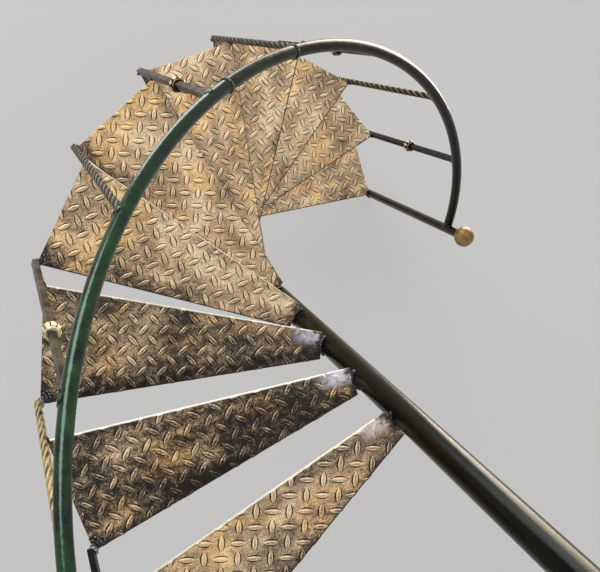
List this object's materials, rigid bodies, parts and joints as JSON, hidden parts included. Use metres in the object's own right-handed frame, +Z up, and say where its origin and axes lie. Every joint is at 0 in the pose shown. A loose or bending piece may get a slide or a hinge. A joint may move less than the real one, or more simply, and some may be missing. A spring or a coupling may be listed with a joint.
{
  "type": "spiral staircase",
  "caption": "Steel spiral staircase with wedge treads of checker plate round a central pole, square bars plain or twisted, and a helical tube handrail.",
  "frame": {"origin": "centre of the base plate's underside, on the pole's axis", "axes": "+Z up along the pole, +X along the middle of the lowest tread; the treads climb counter-clockwise seen from above"},
  "size_m": [1.2695, 1.0035, 3.058],
  "materials": {
    "pole_paint": "near-black glossy enamel on steel tube, scorched brown at the welds",
    "tread_paint": "worn bronze-brown paint on steel checker plate, bare tan on the lugs",
    "rail_paint": "dark green-black glossy enamel on steel tube",
    "bar_paint": "black enamel on square steel bar",
    "collar_paint": "black enamel with gold rubbed on the raised rings",
    "ball_paint": "gold paint on a steel ball"
  },
  "bodies": {
    "root": {"baluster_02": "bar_paint", "baluster_03": "bar_paint", "baluster_04": "bar_paint", "baluster_05": "bar_paint", "baluster_06": "bar_paint", "baluster_07": "bar_paint", "baluster_08": "bar_paint", "baluster_09": "bar_paint", "baluster_10": "bar_paint", "baluster_11": "bar_paint", "base_plate": "pole_paint", "center_pole": "pole_paint", "collar_02": "collar_paint", "collar_04": "collar_paint", "collar_06": "collar_paint", "collar_08": "collar_paint", "collar_10": "collar_paint", "handrail_lower": "rail_paint", "handrail_splice": "rail_paint", "handrail_upper": "rail_paint", "newel_ball": "ball_paint", "newel_post": "rail_paint", "pole_cap": "pole_paint", "tread_01": "tread_paint", "tread_02": "tread_paint", "tread_03": "tread_paint", "tread_04": "tread_paint", "tread_05": "tread_paint", "tread_06": "tread_paint", "tread_07": "tread_paint", "tread_08": "tread_paint", "tread_09": "tread_paint", "tread_10": "tread_paint"}
  },
  "joints": []
}
